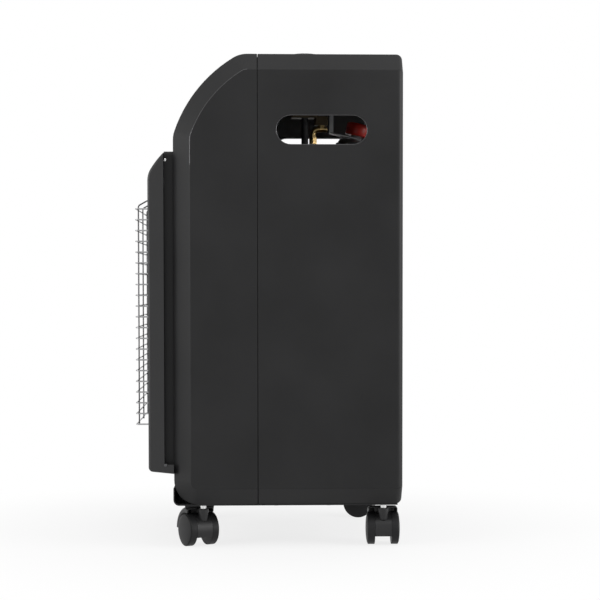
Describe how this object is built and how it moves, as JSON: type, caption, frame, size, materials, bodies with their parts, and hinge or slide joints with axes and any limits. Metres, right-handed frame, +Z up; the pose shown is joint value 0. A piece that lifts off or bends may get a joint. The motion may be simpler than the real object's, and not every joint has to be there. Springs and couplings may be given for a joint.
{
  "type": "mobile cabinet gas heater",
  "caption": "Sheet-steel cabinet heater for bottled gas on twin-wheel castors, with a guarded radiant burner front, a bottle bay, handle slots and a top knob.",
  "frame": {"origin": "on the floor under the castors, below the middle of the overall box", "axes": "+Z up; the burner faces -Y; X across the width"},
  "size_m": [0.42, 0.401, 0.765],
  "materials": {
    "black_coated_steel": "satin",
    "galvanised_steel": "satin",
    "polished_reflector": "polished",
    "chromed_wire": "polished",
    "plaque_ceramic": "matte",
    "electrode_ceramic": "gloss",
    "brass": "satin",
    "gas_pipe_aluminium": "satin",
    "bright_steel": "satin",
    "black_plastic": "satin",
    "red_plastic": "satin",
    "grey_zinc": "satin",
    "hose_rubber": "matte"
  },
  "bodies": {
    "cabinet": {"front_shell": "black_coated_steel", "rear_cabinet": "black_coated_steel", "base_tray": "black_coated_steel", "tray_screws": "bright_steel", "heat_shield": "galvanised_steel", "burner_neck": "black_coated_steel", "bezel": "black_coated_steel", "guard_wires": "chromed_wire", "guard_uprights": "chromed_wire", "reflector": "polished_reflector", "burner_box_left": "galvanised_steel", "burner_box_middle": "galvanised_steel", "burner_box_right": "galvanised_steel", "plaques_left": "plaque_ceramic", "plaques_middle": "plaque_ceramic", "plaques_right": "plaque_ceramic", "mixing_tubes": "galvanised_steel", "gas_manifold": "gas_pipe_aluminium", "jets": "brass", "supply_pipe": "gas_pipe_aluminium", "manifold_brackets": "galvanised_steel", "pilot_bracket": "galvanised_steel", "pilot_burner": "brass", "spark_electrode": "electrode_ceramic", "thermocouple": "bright_steel", "gas_valve": "brass", "control_plate": "black_coated_steel", "igniter_body": "black_plastic", "inlet_elbow": "brass", "hose_nut": "brass", "gas_hose": "hose_rubber", "hose_clamp": "bright_steel", "regulator_body": "grey_zinc", "bottle_coupling": "grey_zinc", "regulator_hanger": "galvanised_steel", "castor_sockets": "galvanised_steel", "castor_stems": "bright_steel"},
    "valve_plunger": {"valve_plunger": "brass"},
    "control_knob": {"valve_spindle": "bright_steel", "control_knob": "black_plastic"},
    "igniter_button": {"igniter_button": "black_plastic"},
    "rear_panel": {"rear_panel": "black_coated_steel"},
    "regulator_lever": {"regulator_lever": "red_plastic"},
    "castor_front_right": {"castor_hood_front_right": "black_plastic", "castor_axle_front_right": "bright_steel"},
    "wheel_front_right_a": {"castor_wheel_front_right_a": "black_plastic"},
    "wheel_front_right_b": {"castor_wheel_front_right_b": "black_plastic"},
    "castor_rear_right": {"castor_hood_rear_right": "black_plastic", "castor_axle_rear_right": "bright_steel"},
    "wheel_rear_right_a": {"castor_wheel_rear_right_a": "black_plastic"},
    "wheel_rear_right_b": {"castor_wheel_rear_right_b": "black_plastic"},
    "castor_front_left": {"castor_hood_front_left": "black_plastic", "castor_axle_front_left": "bright_steel"},
    "wheel_front_left_a": {"castor_wheel_front_left_a": "black_plastic"},
    "wheel_front_left_b": {"castor_wheel_front_left_b": "black_plastic"},
    "castor_rear_left": {"castor_hood_rear_left": "black_plastic", "castor_axle_rear_left": "bright_steel"},
    "wheel_rear_left_a": {"castor_wheel_rear_left_a": "black_plastic"},
    "wheel_rear_left_b": {"castor_wheel_rear_left_b": "black_plastic"}
  },
  "joints": [
    {"name": "knob_press", "type": "slide", "parent": "cabinet", "child": "valve_plunger", "axis": [0, 0, -1], "range_m": [0, 0.004], "stiffness_N_per_m": 1500, "springref_m": -0.002},
    {"name": "knob_turn", "type": "hinge", "parent": "valve_plunger", "child": "control_knob", "pos_m": [0, 0.0584, 0.75], "axis": [0, 0, 1], "range_deg": [0, 210]},
    {"name": "igniter_press", "type": "slide", "parent": "cabinet", "child": "igniter_button", "axis": [0, 0, -1], "range_m": [0, 0.005], "stiffness_N_per_m": 1500, "springref_m": -0.002},
    {"name": "rear_panel_tilt", "type": "hinge", "parent": "cabinet", "child": "rear_panel", "pos_m": [0, 0.1999, 0.084], "axis": [-1, 0, 0], "range_deg": [0, 75]},
    {"name": "regulator_lever_turn", "type": "hinge", "parent": "cabinet", "child": "regulator_lever", "pos_m": [-0.04, 0.1435, 0.638], "axis": [0, 0.225, 0.9744], "range_deg": [0, 90]},
    {"name": "castor_front_right_swivel", "type": "hinge", "parent": "cabinet", "child": "castor_front_right", "pos_m": [0.17, -0.1, 0.045], "axis": [0, 0, 1], "continuous": true},
    {"name": "wheel_front_right_a_spin", "type": "hinge", "parent": "castor_front_right", "child": "wheel_front_right_a", "pos_m": [0.15485, -0.10772, 0.025], "axis": [0.454, -0.891, 0], "continuous": true},
    {"name": "wheel_front_right_b_spin", "type": "hinge", "parent": "castor_front_right", "child": "wheel_front_right_b", "pos_m": [0.15485, -0.10772, 0.025], "axis": [0.454, -0.891, 0], "continuous": true},
    {"name": "castor_rear_right_swivel", "type": "hinge", "parent": "cabinet", "child": "castor_rear_right", "pos_m": [0.17, 0.174, 0.045], "axis": [0, 0, 1], "continuous": true},
    {"name": "wheel_rear_right_a_spin", "type": "hinge", "parent": "castor_rear_right", "child": "wheel_rear_right_a", "pos_m": [0.153, 0.174, 0.025], "axis": [0, -1, 0], "continuous": true},
    {"name": "wheel_rear_right_b_spin", "type": "hinge", "parent": "castor_rear_right", "child": "wheel_rear_right_b", "pos_m": [0.153, 0.174, 0.025], "axis": [0, -1, 0], "continuous": true},
    {"name": "castor_front_left_swivel", "type": "hinge", "parent": "cabinet", "child": "castor_front_left", "pos_m": [-0.17, -0.1, 0.045], "axis": [0, 0, 1], "continuous": true},
    {"name": "wheel_front_left_a_spin", "type": "hinge", "parent": "castor_front_left", "child": "wheel_front_left_a", "pos_m": [-0.17, -0.117, 0.025], "axis": [1, 0, 0], "continuous": true},
    {"name": "wheel_front_left_b_spin", "type": "hinge", "parent": "castor_front_left", "child": "wheel_front_left_b", "pos_m": [-0.17, -0.117, 0.025], "axis": [1, 0, 0], "continuous": true},
    {"name": "castor_rear_left_swivel", "type": "hinge", "parent": "cabinet", "child": "castor_rear_left", "pos_m": [-0.17, 0.174, 0.045], "axis": [0, 0, 1], "continuous": true},
    {"name": "wheel_rear_left_a_spin", "type": "hinge", "parent": "castor_rear_left", "child": "wheel_rear_left_a", "pos_m": [-0.17353, 0.15737, 0.025], "axis": [0.9781, -0.2079, 0], "continuous": true},
    {"name": "wheel_rear_left_b_spin", "type": "hinge", "parent": "castor_rear_left", "child": "wheel_rear_left_b", "pos_m": [-0.17353, 0.15737, 0.025], "axis": [0.9781, -0.2079, 0], "continuous": true}
  ]
}
